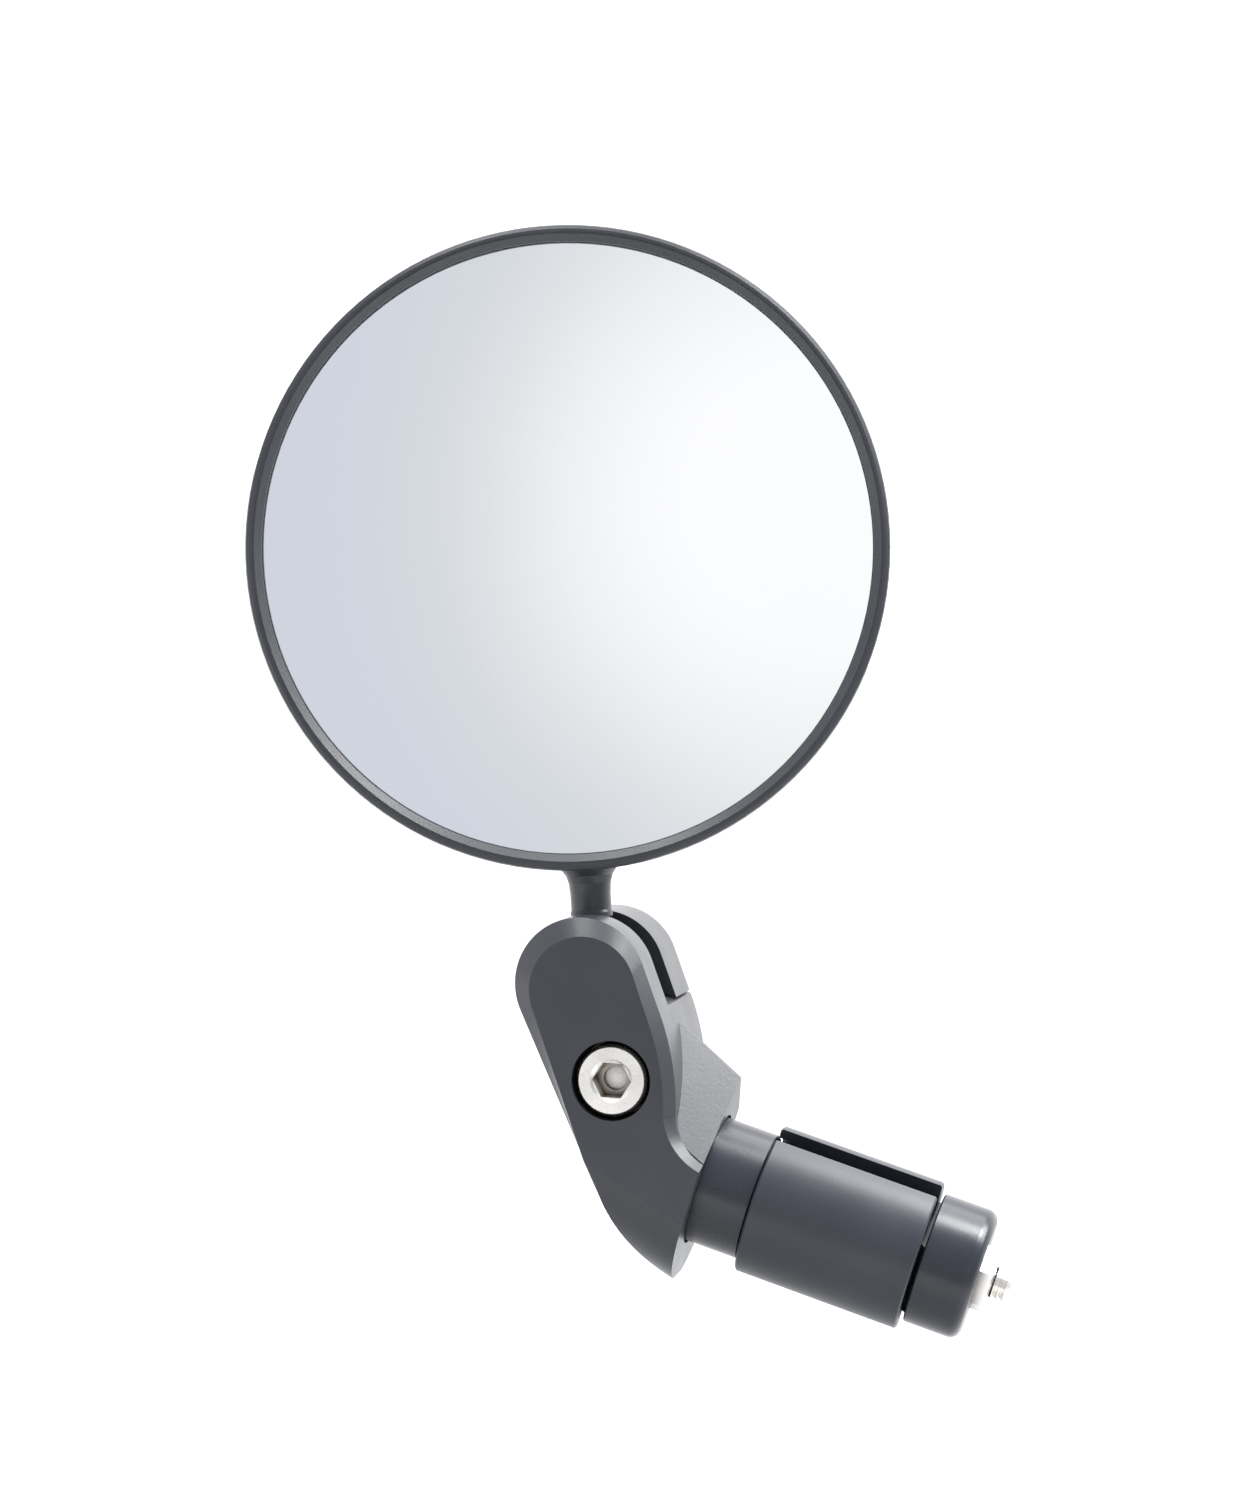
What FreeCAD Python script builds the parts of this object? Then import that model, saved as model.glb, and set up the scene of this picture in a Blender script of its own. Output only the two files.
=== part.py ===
"""Bar-end bicycle mirror: a round convex mirror on a ball-jointed two-part arm with an expander plug.

Frame, in millimetres: the origin is the centre of the arm's foot face, where the bar's end sits.
+X runs along the plug into the handlebar, the mirror faces -Y, and +Z is up, across the plug.
"""
import FreeCAD, Part
import math
import os

from FreeCAD import Base

V = Base.Vector
X = V(1, 0, 0)
Y = V(0, 1, 0)
Z = V(0, 0, 1)

# Joint centres and directions
BALL = V(-20.1, 0, 18.3)
SCREW = V(-13.0, 0, 9.1)
NECK_LEAN = 21.5
HEAD_SPIN = 11.0

# Arm
ARM_FRONT = -9.9
ARM_BACK = 12.3
TOP_R = 7.8
BEVEL_T = 1.5
EDGE = 1.0
SLOT_Y = 2.9
BALL_R = 5.0
SOCKET_R = 5.05
SLOT_FLOOR_DEG = 1.0
SLOT_LEFT_DEG = 142.0
LEDGE_GAP_DEG = 1.8
PART_Y = 4.0
CLAMP_GAP = 0.3
TONGUE_TOP_R = 5.9
TONGUE_LOW_R = 5.4

# Foot
FOOT_TOP = 12.65
FOOT_TIP = -12.1
FLARE_CREST = 0.8
FLARE_FRONT_Y = -8.4
FLARE_FRONT_SLOPE = 1.115
FLARE_BACK_Y = 8.0
FLARE_BACK_SLOPE = 0.68
FLARE_DEG = 23.5
FOOT_ROUND_R = 10.1
FOOT_ROUND_RISE = 2.0

# Clamp screw and nut, M5
M5_R = 2.5
M5_HEAD_R = 4.25
M5_HEAD_H = 5.0
M5_BORE_R = 2.65
M5_RECESS_R = 4.65
M5_SEAT_Y = -3.8
M5_WASHER_T = 0.8
M5_LENGTH = 16.0
M5_NUT_AF = 8.0
M5_NUT_H = 4.0
THREAD_GAP = 0.05

# Plug
PILOT_R = 7.6
PILOT_END = 6.55
SPIGOT_R = 5.0
SPIGOT_L = 3.2
JAW_R = 8.9
JAW_START = 6.6
JAW_END = 26.4
JAW_GAP = 1.5
JAW_TURN = 17.0
RAMP_HALF_WIDTH = 4.5
CORE_RAMP_DEG = 20.0
CORE_RAMP_START = 8.0
CORE_RAMP_END = 14.0
RAMP_TOP = 5.8
CAP_START = 26.9
CAP_END = 33.6
CAP_R = 7.75
CAP_RAMP_END = 24.1

# Expander bolt and nut, M4
M4_R = 2.0
M4_HEAD_R = 3.5
M4_HEAD_H = 4.0
M4_SEAT_X = -7.6
M4_WASHER_T = 0.8
M4_LENGTH = 45.0
M4_PITCH = 0.7
M4_NUT_AF = 7.0
M4_NUT_H = 3.2
NUT_START = 31.9

# Mirror head, in its own frame: origin at the ball, z up the neck, glass facing -y
DISC_Z = 50.8
RIM_R = 37.8
RIM_FRONT = -5.2
LIP_INNER_R = 36.9
BEZEL_INNER_R = 35.9
GLASS_R = 36.5
GLASS_T = 2.0
GLASS_CURVE = 500.0
GLASS_APEX = -5.1
NECK_R = 2.4
SHELL_T = 2.0
SPIGOT_NECK_R = 1.5


def rod(start, direction, radius, length):
    return Part.makeCylinder(radius, length, start, direction)


def box(x0, x1, y0, y1, z0, z1):
    return Part.makeBox(x1 - x0, y1 - y0, z1 - z0, V(x0, y0, z0))


def arc(a, b, c):
    return Part.Arc(a, b, c).toShape()


def line(a, b):
    return Part.LineSegment(a, b).toShape()


def at(x, z, y=0.0):
    return V(x, y, z)


def polar(centre, radius, degrees):
    angle = math.radians(degrees)
    return centre + V(radius * math.cos(angle), 0, radius * math.sin(angle))


def prism(edges, y0, y1):
    """A closed outline in the XZ plane, swept along Y."""
    face = Part.Face(Part.Wire(Part.__sortEdges__(edges)))
    face.translate(V(0, y0, 0))
    return face.extrude(V(0, y1 - y0, 0))


def polygon_prism(points, y0, y1):
    closed = points + [points[0]]
    face = Part.Face(Part.makePolygon(closed))
    face.translate(V(0, y0, 0))
    return face.extrude(V(0, y1 - y0, 0))


def lathe(profile, origin, axis):
    """Revolves (distance along the axis, radius) points about the axis."""
    side = V(0, 0, 1) if abs(axis.z) < 0.9 else V(1, 0, 0)
    side = (side - axis * side.dot(axis)).normalize()
    points = [origin + axis * d + side * r for d, r in profile]
    face = Part.Face(Part.makePolygon(points + [points[0]]))
    return face.revolve(origin, axis, 360)


def hexagon(across_flats, height, origin, axis, turn=0.0):
    """A hexagonal bar of the given height along the axis."""
    radius = across_flats / math.sqrt(3)
    points = []
    for k in range(6):
        angle = math.radians(60 * k + turn)
        points.append(V(radius * math.cos(angle), radius * math.sin(angle), 0))
    face = Part.Face(Part.makePolygon(points + [points[0]]))
    solid = face.extrude(V(0, 0, height))
    solid.Placement = Base.Placement(origin, Base.Rotation(Z, axis))
    return solid


def hex_nut(across_flats, height, bore_r, origin, axis, turn=0.0):
    body = hexagon(across_flats, height, origin, axis, turn)
    corner = across_flats / math.sqrt(3)
    low = across_flats / 2 * 0.98
    bevel = 0.35
    cone = lathe([(0, 0), (0, low), (bevel, corner + 0.05), (height - bevel, corner + 0.05),
                  (height, low), (height, 0)], origin, axis)
    bore = rod(origin - axis, axis, bore_r, height + 2)
    return body.common(cone).cut(bore)


def socket_head(radius, height, key_af, key_depth, origin, axis):
    """A cap head that stands on origin and rises along the axis."""
    edge = 0.4
    head = lathe([(0, 0), (0, radius), (height - edge, radius), (height, radius - edge), (height, 0)],
                 origin, axis)
    top = origin + axis * height
    key = hexagon(key_af, key_depth, top - axis * key_depth, axis, 15)
    drill = rod(top - axis * (key_depth + 0.6), axis, key_af * 0.36, 1.0)
    lead = lathe([(height - 0.25, 0), (height - 0.25, key_af * 0.55), (height + 0.1, key_af * 0.66),
                  (height + 0.1, 0)], origin, axis)
    return head.cut(key).cut(drill).cut(lead)


def tangent_from_circle(centre, radius, point, side):
    """Where a line from the point touches the circle; side +1 or -1 picks which."""
    to_point = point - centre
    distance = to_point.Length
    base = math.degrees(math.atan2(to_point.z, to_point.x))
    opening = math.degrees(math.acos(radius / distance))
    return polar(centre, radius, base + side * opening)


# ---------------------------------------------------------------- arm

def face_edges(centre, radius, left_low, belly, tip, corner, fillet, right_low, right_mid, right_high):
    """A closed outline: round top, straight sides, and the curved lower edge of the foot."""
    left_touch = tangent_from_circle(centre, radius, left_low, -1)
    right_touch = tangent_from_circle(centre, radius, right_high, 1)
    top = polar(centre, radius, 100)
    return [
        arc(right_touch, top, left_touch),
        line(left_touch, left_low),
        arc(left_low, belly, tip),
        line(tip, corner),
        arc(corner, fillet, right_low),
        arc(right_low, right_mid, right_high),
        line(right_high, right_touch),
    ]


def arm_outline():
    """The arm's widest outline, behind the bevel of its front face."""
    return face_edges(BALL, TOP_R, at(-9.1, -5.9), at(-4.96, -9.64), at(0, FOOT_TIP), at(0, 3.2),
                      at(-2.9, 4.7), at(-4.7, 7.2), at(-7.1, 13.4), at(-9.7, 17.6))


def front_face_outline():
    """The flat of the front face: the bevel is widest round the top and under the foot."""
    return face_edges(BALL + V(0.7, 0, -0.4), TOP_R - 1.5, at(-13.25, -0.75), at(-6.8, -3.5), at(0, -4.1),
                      at(0, 2.5), at(-3.7, 4.2), at(-5.8, 6.9), at(-8.3, 13.0), at(-10.9, 17.0))


def back_face_outline():
    """The flat of the arm's back, inside its bevelled edge."""
    return face_edges(BALL, TOP_R - EDGE, at(-12.7, -0.2), at(-6.0, -8.2), at(0, FOOT_TIP + 0.6),
                      at(0, 2.4), at(-3.6, 4.5), at(-5.6, 7.1), at(-8.0, 13.1), at(-10.6, 17.2))


def bevel(outer, outer_y, inner, inner_y):
    """The sloping band between the arm's outline and a smaller flat face."""
    back = Part.Wire(outer)
    back.translate(V(0, outer_y, 0))
    front = Part.Wire(inner)
    front.translate(V(0, inner_y, 0))
    return Part.makeLoft([front, back], True, True)


def rounded_underside():
    """What is taken off both lower edges of the foot, so that its underside is half round."""
    start = at(-13.6, -0.75)
    end = at(0, -4.1)
    along = (end - start).normalize()
    below = V(along.z, 0, -along.x)
    reach = 30
    a = start - along * reach
    b = end + along * reach
    slab = polygon_prism([a, b, b + below * reach, a + below * reach], -20, 20)
    barrel = rod(a - below * FOOT_ROUND_RISE, along, FOOT_ROUND_R, reach * 2 + 20)
    return slab.cut(barrel)


def foot_back():
    """What is taken off behind the foot, so that the arm narrows to the end face."""
    points = [V(-9.5, ARM_BACK, -20), V(0.5, 8.6, -20), V(0.5, 30, -20), V(-9.5, 30, -20)]
    face = Part.Face(Part.makePolygon(points + [points[0]]))
    return face.extrude(V(0, 0, 50))


def flare():
    """The ridge behind the front plate that runs down to the top of the foot's face, flat on both slopes."""
    angle = math.radians(FLARE_DEG)
    along = V(-math.cos(angle), 0, math.sin(angle))
    section = [V(0, 0, FOOT_TOP), V(0, FLARE_CREST, FOOT_TOP),
               V(0, FLARE_BACK_Y, FOOT_TOP - (FLARE_BACK_Y - FLARE_CREST) * FLARE_BACK_SLOPE),
               V(0, FLARE_BACK_Y, -3), V(0, FLARE_FRONT_Y, -3),
               V(0, FLARE_FRONT_Y, FOOT_TOP + FLARE_FRONT_Y * FLARE_FRONT_SLOPE)]
    face = Part.Face(Part.makePolygon(section + [section[0]]))
    keep = box(-12.5, 0, -20, 20, -3, 25)
    return face.extrude(along * 19.5).common(keep)


def slot_sector(y0, y1, floor_deg, left_deg, reach):
    points = [BALL]
    steps = 8
    for k in range(steps + 1):
        points.append(polar(BALL, reach, floor_deg + (left_deg - floor_deg) * k / steps))
    return polygon_prism(points, y0, y1)


def stadium(a, r_a, b, r_b, y0, y1):
    """Two discs of different radius joined by their common tangents."""
    gap = b - a
    base = math.degrees(math.atan2(gap.z, gap.x))
    spread = math.degrees(math.acos((r_a - r_b) / gap.Length))
    pts = [polar(a, r_a, base + spread), polar(b, r_b, base + spread),
           polar(b, r_b, base - spread), polar(a, r_a, base - spread)]
    edges = [line(pts[0], pts[1]), arc(pts[1], polar(b, r_b, base), pts[2]),
             line(pts[2], pts[3]), arc(pts[3], polar(a, r_a, base + 180), pts[0])]
    return prism(edges, y0, y1)


def whole_arm():
    front_y = ARM_FRONT + BEVEL_T
    back_y = ARM_BACK - EDGE
    plate = prism(arm_outline(), front_y, back_y)
    plate = plate.fuse(bevel(arm_outline(), front_y, front_face_outline(), ARM_FRONT))
    plate = plate.fuse(bevel(arm_outline(), back_y, back_face_outline(), ARM_BACK))
    plate = plate.cut(rounded_underside())
    plate = plate.cut(foot_back())
    return plate.fuse(flare()).removeSplitter()


def rear_region():
    """Everything behind the parting surface: the rear half is the arm's material in here."""
    upper = slot_sector(SLOT_Y, ARM_BACK + 5, SLOT_FLOOR_DEG + LEDGE_GAP_DEG, SLOT_LEFT_DEG, 30)
    tongue = stadium(BALL, TONGUE_TOP_R, SCREW, TONGUE_LOW_R, PART_Y + CLAMP_GAP, ARM_BACK + 5)
    return upper.fuse(tongue)


def rear_clearance():
    upper = slot_sector(-SLOT_Y, ARM_BACK + 5, SLOT_FLOOR_DEG, SLOT_LEFT_DEG, 30)
    tongue = stadium(BALL, TONGUE_TOP_R + 0.15, SCREW, TONGUE_LOW_R + 0.15, PART_Y, ARM_BACK + 5)
    return upper.fuse(tongue)


def arm_front_half():
    arm = whole_arm().cut(rear_clearance())
    arm = arm.cut(Part.makeSphere(SOCKET_R, BALL))
    arm = arm.cut(rod(BALL - Y * SLOT_Y, Y, SOCKET_R + 0.3, PART_Y + SLOT_Y))
    arm = arm.cut(rod(SCREW - Y * 20, Y, M5_BORE_R, 40))
    arm = arm.cut(rod(SCREW - Y * 20, Y, M5_RECESS_R, 20 + M5_SEAT_Y))
    arm = arm.cut(rod(V(-3.3, 0, 0), X, SPIGOT_R + 0.05, 5))
    arm = arm.cut(rod(V(-0.6, 0, 0), X, PILOT_R + 0.35, 2))
    arm = arm.cut(rod(V(-15, 0, 0), X, M4_R + 0.15, 20))
    recess_x = M4_SEAT_X + M4_WASHER_T
    arm = arm.cut(rod(V(-30, 0, 0), X, 4.7, 30 + recess_x))
    return arm


def arm_rear_half():
    arm = whole_arm().common(rear_region())
    arm = arm.cut(Part.makeSphere(SOCKET_R, BALL))
    arm = arm.cut(rod(SCREW - Y * 20, Y, M5_BORE_R, 40))
    pocket_y = ARM_BACK - M5_NUT_H - 0.5
    arm = arm.cut(hexagon(M5_NUT_AF + 0.1, 10, SCREW + Y * pocket_y, Y))
    return arm


def clamp_screw():
    head_seat = SCREW + Y * (M5_SEAT_Y - M5_WASHER_T)
    head = socket_head(M5_HEAD_R, M5_HEAD_H, 4.0, 2.5, head_seat, -Y)
    tip = 0.5
    shank = lathe([(0, 0), (0, M5_R), (M5_LENGTH - tip, M5_R), (M5_LENGTH, M5_R - tip),
                   (M5_LENGTH, 0)], head_seat, Y)
    return head.fuse(shank).removeSplitter()


def clamp_washer():
    ring = rod(SCREW + Y * (M5_SEAT_Y - M5_WASHER_T), Y, 4.5, M5_WASHER_T)
    return ring.cut(rod(SCREW - Y * 20, Y, M5_BORE_R, 40))


def clamp_nut():
    start = SCREW + Y * (ARM_BACK - M5_NUT_H - 0.5)
    return hex_nut(M5_NUT_AF, M5_NUT_H, M5_R + THREAD_GAP, start, Y)


# ---------------------------------------------------------------- plug

def jaw_side(front):
    """The direction one jaw moves in: across the plug, square to the split."""
    angle = math.radians(JAW_TURN)
    out = V(0, -math.cos(angle), -math.sin(angle))
    return out if front else -out


def ramp_block(profile, half_width, out):
    """A block with (x, height) corners on the out side of the axis, swept across it."""
    across = X.cross(out)
    points = [V(x, 0, 0) + out * h - across * half_width for x, h in profile]
    face = Part.Face(Part.makePolygon(points + [points[0]]))
    return face.extrude(across * half_width * 2)


def core_ramp_height(x):
    return RAMP_TOP - max(0, x - CORE_RAMP_START) * math.tan(math.radians(CORE_RAMP_DEG))


def plug_core():
    body = rod(V(-SPIGOT_L, 0, 0), X, SPIGOT_R, SPIGOT_L + 1)
    pilot = lathe([(0, 0), (0, PILOT_R), (PILOT_END - 0.3, PILOT_R), (PILOT_END, PILOT_R - 0.3),
                   (PILOT_END, 0)], V(0, 0, 0), X)
    body = body.fuse(pilot)
    for front in (True, False):
        low = core_ramp_height(CORE_RAMP_END)
        wedge = ramp_block([(PILOT_END - 1, -0.5), (CORE_RAMP_END, -0.5), (CORE_RAMP_END, low),
                            (CORE_RAMP_START, RAMP_TOP), (PILOT_END - 1, RAMP_TOP)],
                           RAMP_HALF_WIDTH, jaw_side(front))
        body = body.fuse(wedge)
    body = body.cut(rod(V(-10, 0, 0), X, M4_R + 0.1, 40))
    return body.removeSplitter()


def swivel_washer():
    ring = rod(V(-0.55, 0, 0), X, PILOT_R, 0.5)
    return ring.cut(rod(V(-2, 0, 0), X, SPIGOT_R + 0.1, 4))


def jaw(front):
    out = jaw_side(front)
    shell = lathe([(JAW_START, 0), (JAW_START, JAW_R - 0.2), (JAW_START + 0.2, JAW_R),
                   (JAW_END - 0.2, JAW_R), (JAW_END, JAW_R - 0.2), (JAW_END, 0)], V(0, 0, 0), X)
    half = ramp_block([(0, JAW_GAP), (40, JAW_GAP), (40, 20), (0, 20)], 20, out)
    shell = shell.common(half)
    shell = shell.cut(rod(V(0, 0, 0), X, 3.3, 40))
    shell = shell.cut(rod(V(0, 0, 0), X, PILOT_R + 0.12, JAW_START + 1.5))
    slack = 0.06
    low = core_ramp_height(CORE_RAMP_END) + slack
    wide = RAMP_HALF_WIDTH + 0.3
    shell = shell.cut(ramp_block([(0, -1), (CORE_RAMP_END + 2, -1), (CORE_RAMP_END + 2, low),
                                  (CORE_RAMP_END, low), (CORE_RAMP_START, RAMP_TOP + slack),
                                  (0, RAMP_TOP + slack)], wide, out))
    cap_low = RAMP_TOP - (CAP_START - CAP_RAMP_END)
    shell = shell.cut(ramp_block([(CAP_RAMP_END - 1.2, -1), (40, -1), (40, RAMP_TOP + slack),
                                  (CAP_START, RAMP_TOP + slack), (CAP_RAMP_END, cap_low + slack + 0.03),
                                  (CAP_RAMP_END - 1.2, cap_low + slack + 0.03)], wide, out))
    return shell


def wedge_cap():
    cap = lathe([(CAP_START, 0), (CAP_START, CAP_R - 0.2), (CAP_START + 0.2, CAP_R), (CAP_END, CAP_R),
                 (CAP_END, 0)], V(0, 0, 0), X)
    rim = [e for e in cap.Edges if abs(e.BoundBox.XMin - CAP_END) < 1e-3 and e.BoundBox.YLength > 10]
    cap = cap.makeFillet(1.4, rim)
    low = RAMP_TOP - (CAP_START - CAP_RAMP_END)
    for front in (True, False):
        wedge = ramp_block([(CAP_START + 1, -0.5), (CAP_START + 1, RAMP_TOP), (CAP_START, RAMP_TOP),
                            (CAP_RAMP_END, low), (CAP_RAMP_END, -0.5)],
                           RAMP_HALF_WIDTH, jaw_side(front))
        cap = cap.fuse(wedge)
    cap = cap.cut(rod(V(0, 0, 0), X, M4_R + 0.15, 50))
    cap = cap.cut(hexagon(M4_NUT_AF + 0.1, 10, V(NUT_START, 0, 0), X, 8))
    return cap.removeSplitter()


def expander_bolt():
    seat = V(M4_SEAT_X, 0, 0)
    head = socket_head(M4_HEAD_R, M4_HEAD_H, 3.0, 2.2, seat, -X)
    tip = M4_SEAT_X + M4_LENGTH
    profile = [(M4_SEAT_X, 0), (M4_SEAT_X, M4_R)]
    x = tip - 0.5 - 5 * M4_PITCH
    for k in range(5):
        root = x + k * M4_PITCH
        profile += [(root, M4_R), (root + 0.28, M4_R - 0.28), (root + 0.42, M4_R - 0.28)]
    profile += [(tip - 0.5, M4_R), (tip, M4_R - 0.5), (tip, 0)]
    shank = lathe(profile, V(0, 0, 0), X)
    return head.fuse(shank).removeSplitter()


def bolt_washer():
    ring = rod(V(M4_SEAT_X, 0, 0), X, 4.4, M4_WASHER_T)
    return ring.cut(rod(V(-20, 0, 0), X, M4_R + 0.15, 40))


def expander_nut():
    return hex_nut(M4_NUT_AF, M4_NUT_H, M4_R + THREAD_GAP, V(NUT_START, 0, 0), X, 8)


# ---------------------------------------------------------------- mirror head

def place_head(shape):
    """Moves a shape from the head's own frame to its place on the arm."""
    lean = Base.Rotation(Y, -NECK_LEAN)
    spin = Base.Rotation(Z, HEAD_SPIN)
    moved = shape.copy()
    moved.Placement = Base.Placement(BALL, lean.multiply(spin)).multiply(shape.Placement)
    return moved


def disc(profile):
    """Revolves (depth along y, radius) points about the disc's axis."""
    return lathe(profile, V(0, 0, DISC_Z), Y)


def spherical_cap(apex, radius, curve):
    """The solid between a convex front surface and a plane far behind it."""
    ball = Part.makeSphere(curve, V(0, apex + curve, DISC_Z))
    slug = rod(V(0, apex - 1, DISC_Z), Y, radius, 12)
    return ball.common(slug)


def housing():
    y0 = RIM_FRONT
    r = RIM_R
    back = 4.6
    outer = [(y0, 0), (y0, r - 0.55), (y0 + 0.2, r - 0.16), (y0 + 0.6, r), (y0 + 2.2, r),
             (y0 + 4.4, r - 0.45), (y0 + 6.2, r - 1.7), (y0 + 7.6, r - 4.2), (y0 + 8.6, r - 8.5),
             (y0 + 9.3, r - 15.5), (back - 0.12, r - 25), (back, 5), (back, 0)]
    inner = [(y0 - 1, 0), (y0 - 1, LIP_INNER_R), (y0 + 3.7, LIP_INNER_R), (y0 + 3.7, 34.4),
             (y0 + 5.4, 33.6), (y0 + 6.6, 29.0), (y0 + 7.3, 21.5), (back - SHELL_T - 0.1, 12),
             (back - SHELL_T, 4), (back - SHELL_T, 0)]
    cavity = disc(inner)
    rim_low = DISC_Z - RIM_R
    neck = lathe([(6.8, 0), (6.8, NECK_R - 0.15), (7.3, NECK_R + 0.1), (7.8, NECK_R + 0.1), (8.1, NECK_R),
                  (rim_low - 3.0, NECK_R), (rim_low - 1.7, NECK_R + 0.12), (rim_low - 0.8, NECK_R + 0.4),
                  (rim_low - 0.1, NECK_R + 0.9), (rim_low + 1.2, NECK_R + 1.4), (rim_low + 7, NECK_R + 0.2),
                  (rim_low + 7, 0)], V(0, 0, 0), Z)
    spigot = rod(V(0, 0, -1.5), Z, SPIGOT_NECK_R, 9)
    stem = neck.fuse(spigot)
    stem.rotate(V(0, 0, 0), Z, 33)
    stem = stem.cut(cavity)
    shell = disc(outer).cut(cavity)
    return shell.fuse(stem)


def bezel_ring():
    y0 = RIM_FRONT
    return disc([(y0 + 0.15, LIP_INNER_R), (y0 + 0.15, LIP_INNER_R - 0.2), (y0 + 0.75, BEZEL_INNER_R),
                 (y0 + 1.05, BEZEL_INNER_R), (y0 + 1.35, GLASS_R + 0.05), (y0 + 3.7, GLASS_R + 0.05),
                 (y0 + 3.7, LIP_INNER_R)])


def mirror_glass():
    front = spherical_cap(GLASS_APEX, GLASS_R, GLASS_CURVE)
    back = spherical_cap(GLASS_APEX + GLASS_T, GLASS_R + 5, GLASS_CURVE - GLASS_T)
    return front.cut(back)


def glass_pad():
    back_y = GLASS_APEX + GLASS_T
    front = spherical_cap(back_y, GLASS_R, GLASS_CURVE - GLASS_T)
    shelf = box(-60, 60, -20, RIM_FRONT + 3.7, -20, 120)
    hole = rod(V(0, -20, DISC_Z), Y, 34.4, 40)
    return front.common(shelf).cut(hole)


def pivot_ball():
    ball = Part.makeSphere(BALL_R, V(0, 0, 0))
    return ball.cut(rod(V(0, 0, -1.7), Z, SPIGOT_NECK_R + 0.05, 10)).cut(box(-9, 9, -9, 9, 4.6, 9))


PARTS = {
    "mirror_housing": lambda: place_head(housing()),
    "bezel_ring": lambda: place_head(bezel_ring()),
    "mirror_glass": lambda: place_head(mirror_glass()),
    "glass_seal_ring": lambda: place_head(glass_pad()),
    "pivot_ball": lambda: place_head(pivot_ball()),
    "arm_front_half": arm_front_half,
    "arm_rear_half": arm_rear_half,
    "clamp_screw": clamp_screw,
    "clamp_washer": clamp_washer,
    "clamp_nut": clamp_nut,
    "plug_core": plug_core,
    "swivel_washer": swivel_washer,
    "jaw_front": lambda: jaw(True),
    "jaw_rear": lambda: jaw(False),
    "wedge_cap": wedge_cap,
    "expander_bolt": expander_bolt,
    "bolt_washer": bolt_washer,
    "expander_nut": expander_nut,
}

os.makedirs("parts", exist_ok=True)
for name, make in PARTS.items():
    shape = make()
    solids = shape.Solids
    print(name, "solids", len(solids), "valid", shape.isValid(), "volume", round(shape.Volume, 1))
    if len(solids) == 1:
        shape = solids[0]
    shape.exportStep("parts/" + name + ".step")
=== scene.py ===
"""Looks of the bar-end mirror: materials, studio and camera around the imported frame."""

import math

import bpy
from mathutils import Matrix, Vector


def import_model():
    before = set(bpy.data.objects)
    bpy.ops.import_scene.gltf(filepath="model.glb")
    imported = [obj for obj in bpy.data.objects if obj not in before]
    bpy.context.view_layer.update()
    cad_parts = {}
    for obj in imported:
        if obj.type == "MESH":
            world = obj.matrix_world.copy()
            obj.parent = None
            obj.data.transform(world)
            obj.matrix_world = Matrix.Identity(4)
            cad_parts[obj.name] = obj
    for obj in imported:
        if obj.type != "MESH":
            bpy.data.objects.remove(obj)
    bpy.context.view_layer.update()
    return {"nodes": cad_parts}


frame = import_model()

# ---------------------------------------------------------------- materials

# Depth of the plastic's grain and of the marks on the steel, in metres
GRAIN_DEPTH = 0.00003
MARK_DEPTH = 0.00002
# Painted shade: the colour the steel is darkened to in its deepest corners and recesses
RECESS_SHADE = (0.10, 0.08, 0.065)
WHITE = (1.0, 1.0, 1.0)


def principled(name):
    """A new material with its node tree and shader."""
    material = bpy.data.materials.new(name)
    material.use_nodes = True
    nodes = material.node_tree.nodes
    return material, material.node_tree, nodes["Principled BSDF"]


def object_noise(tree, scale, detail):
    """Noise that is fixed to the piece."""
    coords = tree.nodes.new("ShaderNodeTexCoord")
    noise = tree.nodes.new("ShaderNodeTexNoise")
    noise.inputs["Scale"].default_value = scale
    noise.inputs["Detail"].default_value = detail
    tree.links.new(coords.outputs["Object"], noise.inputs["Vector"])
    return noise


def ramp(tree, source, low, high, start=0.3, end=0.7):
    """Two colours blended between two levels of the source."""
    node = tree.nodes.new("ShaderNodeValToRGB")
    node.color_ramp.elements[0].position = start
    node.color_ramp.elements[1].position = end
    node.color_ramp.elements[0].color = (*low, 1.0)
    node.color_ramp.elements[1].color = (*high, 1.0)
    tree.links.new(source, node.inputs["Fac"])
    return node


def remap(tree, source, low, high):
    """The source's 0 to 1 spread over another range."""
    node = tree.nodes.new("ShaderNodeMapRange")
    node.inputs["To Min"].default_value = low
    node.inputs["To Max"].default_value = high
    tree.links.new(source, node.inputs["Value"])
    return node


def bump(tree, source, strength, distance):
    """Relief from a height."""
    node = tree.nodes.new("ShaderNodeBump")
    node.inputs["Strength"].default_value = strength
    node.inputs["Distance"].default_value = distance
    tree.links.new(source, node.inputs["Height"])
    return node


def plastic(name, low, high, rough, grain=0.25):
    """Moulded plastic: faint mottling, a fine spark-eroded grain and slightly uneven gloss."""
    material, tree, shader = principled(name)
    mottle = object_noise(tree, 60.0, 4.0)
    tint = ramp(tree, mottle.outputs["Fac"], low, high)
    tree.links.new(tint.outputs["Color"], shader.inputs["Base Color"])
    gloss = object_noise(tree, 220.0, 3.0)
    gloss_range = remap(tree, gloss.outputs["Fac"], rough - 0.05, rough + 0.06)
    tree.links.new(gloss_range.outputs["Result"], shader.inputs["Roughness"])
    fine = object_noise(tree, 2600.0, 2.0)
    relief = bump(tree, fine.outputs["Fac"], grain, GRAIN_DEPTH)
    tree.links.new(relief.outputs["Normal"], shader.inputs["Normal"])
    return material


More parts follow.
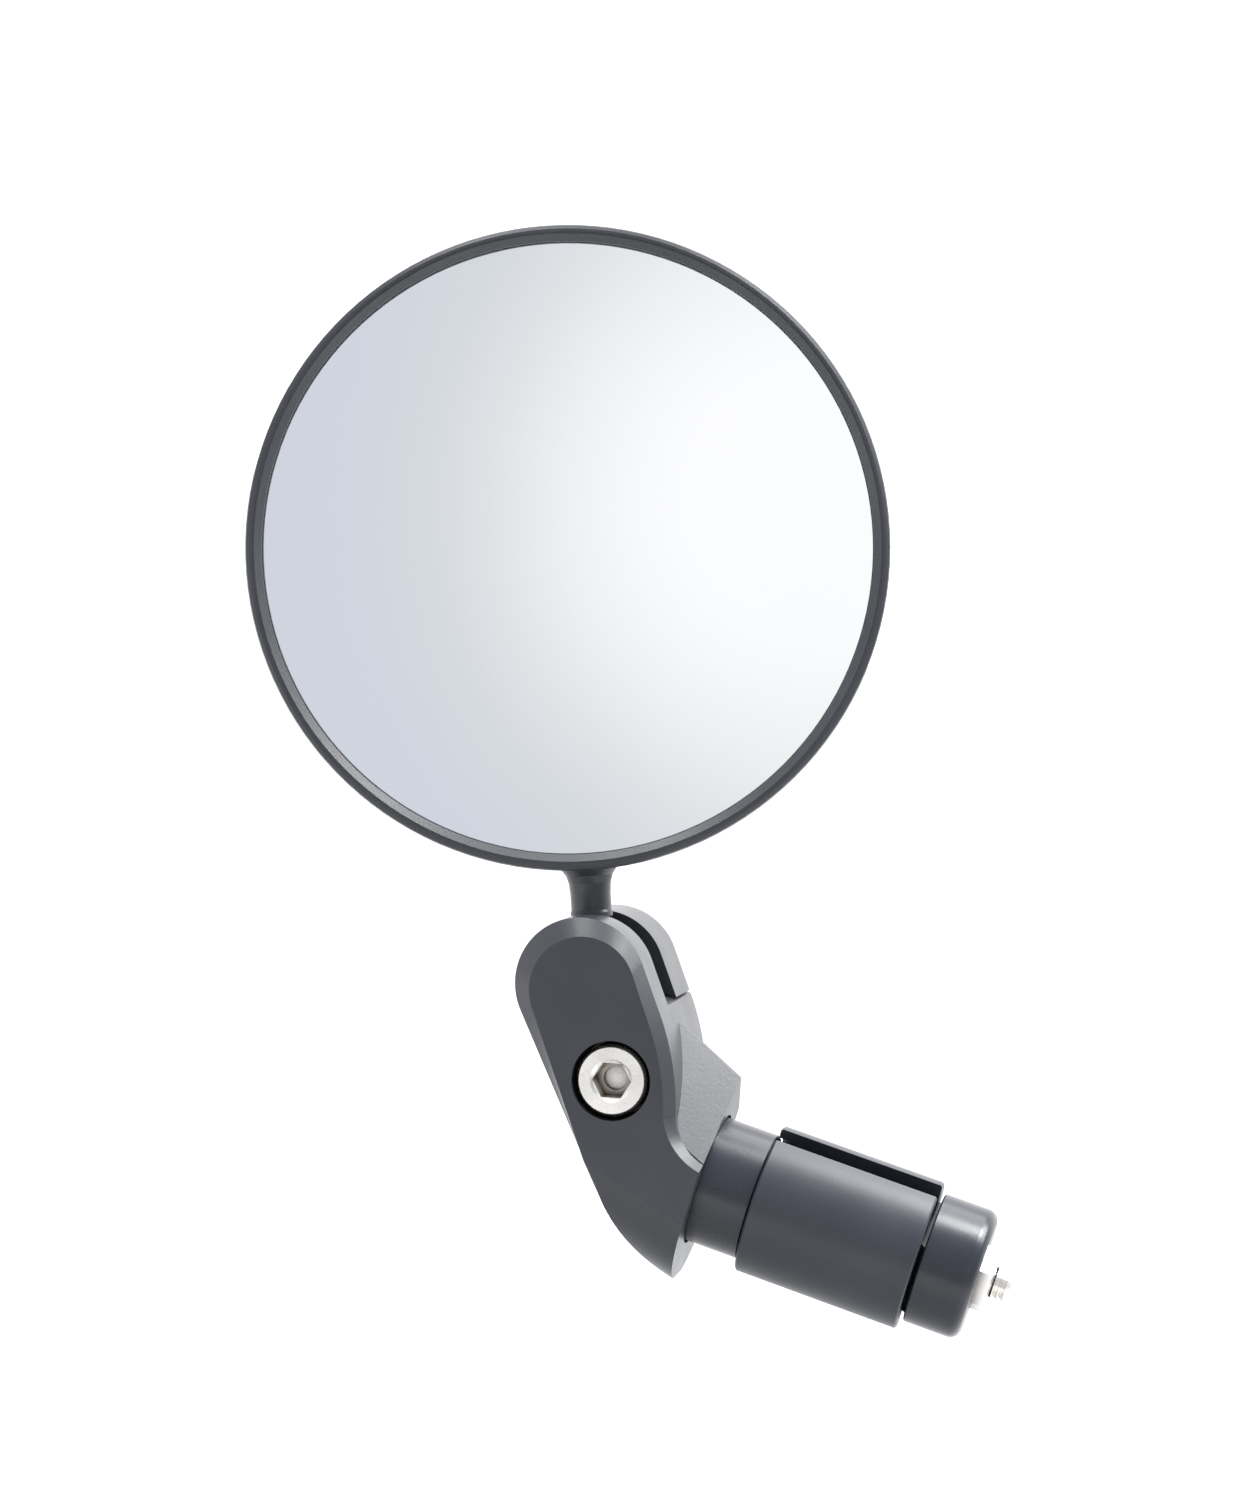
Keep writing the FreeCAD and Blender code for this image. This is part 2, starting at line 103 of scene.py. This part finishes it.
def steel(name, low, high, rough, reach=0.0022, unshaded_from=0.85):
    """Plated steel with fine turning marks, with painted shade darkening its corners and recesses."""
    material, tree, shader = principled(name)
    cloud = object_noise(tree, 240.0, 4.0)
    tint = ramp(tree, cloud.outputs["Fac"], low, high)
    # Painted shade: ambient occlusion darkens the steel's colour in its corners and recesses
    shade_ao = tree.nodes.new("ShaderNodeAmbientOcclusion")
    shade_ao.inputs["Distance"].default_value = reach
    shade_ao.samples = 8
    painted_shade = ramp(tree, shade_ao.outputs["AO"], RECESS_SHADE, WHITE, 0.35, unshaded_from)
    shaded_tint = tree.nodes.new("ShaderNodeMix")
    shaded_tint.data_type = "RGBA"
    shaded_tint.blend_type = "MULTIPLY"
    shaded_tint.inputs[0].default_value = 1.0
    tree.links.new(tint.outputs["Color"], shaded_tint.inputs[6])
    tree.links.new(painted_shade.outputs["Color"], shaded_tint.inputs[7])
    tree.links.new(shaded_tint.outputs[2], shader.inputs["Base Color"])
    gloss = object_noise(tree, 900.0, 3.0)
    gloss_range = remap(tree, gloss.outputs["Fac"], rough - 0.05, rough + 0.08)
    tree.links.new(gloss_range.outputs["Result"], shader.inputs["Roughness"])
    fine = object_noise(tree, 3500.0, 2.0)
    relief = bump(tree, fine.outputs["Fac"], 0.15, MARK_DEPTH)
    tree.links.new(relief.outputs["Normal"], shader.inputs["Normal"])
    shader.inputs["Metallic"].default_value = 1.0
    return material


def silvered_glass(name):
    """The silvering seen through clear glass, with a very faint haze."""
    material, tree, shader = principled(name)
    haze = object_noise(tree, 25.0, 2.0)
    tint = ramp(tree, haze.outputs["Fac"], (0.93, 0.94, 0.955), (0.95, 0.955, 0.965))
    tree.links.new(tint.outputs["Color"], shader.inputs["Base Color"])
    gloss = remap(tree, haze.outputs["Fac"], 0.02, 0.035)
    tree.links.new(gloss.outputs["Result"], shader.inputs["Roughness"])
    shader.inputs["Metallic"].default_value = 1.0
    return material


def dress(material, *nodes):
    """Gives the named pieces one material."""
    for node in nodes:
        mesh = frame["nodes"][node].data
        mesh.materials.clear()
        mesh.materials.append(material)


HOUSING = plastic("housing_plastic", (0.020, 0.022, 0.026), (0.029, 0.031, 0.036), 0.35)
BEZEL = plastic("bezel_plastic", (0.028, 0.031, 0.036), (0.038, 0.041, 0.047), 0.35)
ARM = plastic("arm_plastic", (0.022, 0.024, 0.029), (0.034, 0.036, 0.043), 0.32, grain=0.3)
PLUG = plastic("plug_plastic", (0.011, 0.013, 0.019), (0.019, 0.021, 0.029), 0.27, grain=0.2)
JAW = plastic("jaw_plastic", (0.015, 0.017, 0.023), (0.025, 0.027, 0.036), 0.38, grain=0.2)
DULL = plastic("washer_nylon", (0.03, 0.03, 0.033), (0.045, 0.045, 0.05), 0.6, grain=0.4)
FOAM = plastic("seal_foam", (0.02, 0.02, 0.02), (0.035, 0.035, 0.035), 0.85, grain=0.8)
BALL = plastic("ball_plastic", (0.03, 0.03, 0.034), (0.045, 0.045, 0.05), 0.3)
SCREW = steel("screw_steel", (0.70, 0.665, 0.62), (0.82, 0.78, 0.73), 0.26)
BOLT = steel("bolt_steel", (0.76, 0.74, 0.70), (0.88, 0.85, 0.81), 0.25, reach=0.0004, unshaded_from=0.4)
NUT = steel("nut_steel", (0.66, 0.65, 0.63), (0.78, 0.77, 0.75), 0.3)
GLASS = silvered_glass("mirror_glass")

dress(HOUSING, "mirror_housing")
dress(BEZEL, "bezel_ring")
dress(GLASS, "mirror_glass")
dress(FOAM, "glass_seal_ring")
dress(BALL, "pivot_ball")
dress(ARM, "arm_front_half", "arm_rear_half")
dress(SCREW, "clamp_screw", "clamp_washer")
dress(NUT, "clamp_nut", "expander_nut")
dress(PLUG, "plug_core", "wedge_cap")
dress(DULL, "swivel_washer")
dress(JAW, "jaw_front", "jaw_rear")
dress(BOLT, "expander_bolt", "bolt_washer")

# ---------------------------------------------------------------- camera

# The part is seen rolled about Y by this much, which brings its neck close to upright
ROLL = math.radians(17.8)
# Where the camera stands, in radians and metres
AZIMUTH = math.radians(12.0)
ELEVATION = math.radians(1.5)
DISTANCE = 0.350
# Height of what the camera takes in at that distance
VIEW_HEIGHT = 0.177515
# The middle of the view, measured from the foot's face with the neck upright
FOOT_TO_CENTRE = (-0.0100, 0.0, 0.0506)
SENSOR_MM = 36.0


def from_upright(vector):
    """Turns a place or direction given with the neck upright into the frame, where the plug lies level."""
    return Matrix.Rotation(-ROLL, 3, "Y") @ Vector(vector)


def camera():
    """The camera in front, a little to the right."""
    toward = Vector((math.sin(AZIMUTH) * math.cos(ELEVATION),
                     -math.cos(AZIMUTH) * math.cos(ELEVATION),
                     math.sin(ELEVATION)))
    right = Vector((math.cos(AZIMUTH), math.sin(AZIMUTH), 0.0))
    target = from_upright(FOOT_TO_CENTRE)
    place = target + from_upright(toward) * DISTANCE
    x_axis = from_upright(right)
    z_axis = from_upright(toward)
    y_axis = z_axis.cross(x_axis)
    data = bpy.data.cameras.new("camera")
    data.sensor_fit = "VERTICAL"
    data.sensor_height = SENSOR_MM
    data.lens = SENSOR_MM * DISTANCE / VIEW_HEIGHT
    data.clip_start = 0.01
    data.clip_end = 20.0
    obj = bpy.data.objects.new("camera", data)
    bpy.context.scene.collection.objects.link(obj)
    obj.matrix_world = Matrix((
        (x_axis.x, y_axis.x, z_axis.x, place.x),
        (x_axis.y, y_axis.y, z_axis.y, place.y),
        (x_axis.z, y_axis.z, z_axis.z, place.z),
        (0, 0, 0, 1)))
    bpy.context.scene.camera = obj


camera()

# ---------------------------------------------------------------- studio

# Where the bright middle of the front card lies, seen from the object
CARD_DIRECTION = (0.303, -0.929, 0.207)
# Brightness of the light tent by the angle from that direction, in degrees
TENT = [
    (0, (1.035, 1.035, 1.035)),
    (6.5, (1.025, 1.025, 1.025)),
    (9.0, (0.985, 0.985, 0.985)),
    (12.0, (0.91, 0.912, 0.915)),
    (15.2, (0.80, 0.81, 0.825)),
    (18.4, (0.707, 0.737, 0.77)),
    (22.0, (0.675, 0.70, 0.768)),
    (30.0, (0.64, 0.68, 0.75)),
    (62.0, (0.62, 0.66, 0.73)),
    (100.0, (1.75, 1.75, 1.77)),
    (180.0, (2.0, 2.0, 2.0)),
]
# The tent's highest value
TENT_TOP = 2.0
# The floor sheet: its height, its edges, and how far the painted grey shadow under the object reaches
FLOOR_Z = -0.16
FLOOR_SIDE = 4.0
FLOOR_FRONT = -0.7
FLOOR_BACK = 6.0
FLOOR_SHADOW_START = 0.15
FLOOR_SHADOW_END = 0.5


def area(name, place, target, size, radiance):
    """A soft box of a given brightness; place and target are given with the neck upright."""
    data = bpy.data.lights.new(name, "AREA")
    data.shape = "RECTANGLE"
    data.size, data.size_y = size
    data.energy = radiance * math.pi * size[0] * size[1]
    obj = bpy.data.objects.new(name, data)
    bpy.context.scene.collection.objects.link(obj)
    place = from_upright(place)
    target = from_upright(target)
    obj.location = place
    obj.rotation_euler = (target - place).to_track_quat("-Z", "Y").to_euler()


def floor():
    """A plain pale sheet, with a painted grey shadow right under the object."""
    mesh = bpy.data.meshes.new("floor")
    corners = [(-FLOOR_SIDE, FLOOR_FRONT, FLOOR_Z), (FLOOR_SIDE, FLOOR_FRONT, FLOOR_Z),
               (FLOOR_SIDE, FLOOR_BACK, FLOOR_Z), (-FLOOR_SIDE, FLOOR_BACK, FLOOR_Z)]
    mesh.from_pydata(corners, [], [(0, 1, 2, 3)])
    obj = bpy.data.objects.new("floor", mesh)
    bpy.context.scene.collection.objects.link(obj)
    material, tree, shader = principled("floor_paper")
    coords = tree.nodes.new("ShaderNodeTexCoord")
    shadow_spread = tree.nodes.new("ShaderNodeVectorMath")
    shadow_spread.operation = "LENGTH"
    tree.links.new(coords.outputs["Object"], shadow_spread.inputs[0])
    # Painted shadow: the floor is grey near the object, fading to pale further out
    tint = ramp(tree, shadow_spread.outputs["Value"], (0.30, 0.30, 0.30), (0.94, 0.94, 0.94), FLOOR_SHADOW_START, FLOOR_SHADOW_END)
    tree.links.new(tint.outputs["Color"], shader.inputs["Base Color"])
    shader.inputs["Roughness"].default_value = 0.9
    shader.inputs["Specular IOR Level"].default_value = 0.1
    mesh.materials.append(material)


def world():
    """A light tent all round: a bright patch in front to the right, and brighter still behind."""
    w = bpy.data.worlds.new("studio")
    w.use_nodes = True
    tree = w.node_tree
    background = tree.nodes["Background"]
    coords = tree.nodes.new("ShaderNodeTexCoord")
    dot = tree.nodes.new("ShaderNodeVectorMath")
    dot.operation = "DOT_PRODUCT"
    dot.inputs[1].default_value = Vector(CARD_DIRECTION).normalized()
    angle = tree.nodes.new("ShaderNodeMath")
    angle.operation = "ARCCOSINE"
    share = tree.nodes.new("ShaderNodeMath")
    share.operation = "DIVIDE"
    share.inputs[1].default_value = math.pi
    colours = tree.nodes.new("ShaderNodeValToRGB")
    stops = colours.color_ramp.elements
    while len(stops) < len(TENT):
        stops.new(0.5)
    for stop, (degrees, colour) in zip(stops, TENT):
        stop.position = degrees / 180.0
        stop.color = (*[c / TENT_TOP for c in colour], 1.0)
    tree.links.new(coords.outputs["Generated"], dot.inputs[0])
    tree.links.new(dot.outputs["Value"], angle.inputs[0])
    tree.links.new(angle.outputs["Value"], share.inputs[0])
    tree.links.new(share.outputs["Value"], colours.inputs["Fac"])
    tree.links.new(colours.outputs["Color"], background.inputs["Color"])
    background.inputs["Strength"].default_value = TENT_TOP
    bpy.context.scene.world = w


floor()
world()
area("top_box", (0.06, 0.09, 0.50), (0.0, 0.0, 0.0), (0.58, 0.38), 3.7)
area("small_box", (0.26, -0.02, 0.46), (0.0, 0.0, 0.0), (0.18, 0.20), 26.0)
area("left_box", (-0.13, -0.10, 0.48), (0.0, 0.0, 0.0), (0.20, 0.12), 12.0)
area("right_box", (0.42, 0.07, 0.36), (0.0, 0.0, 0.02), (0.28, 0.28), 13.0)
bpy.context.scene.view_settings.view_transform = "Standard"
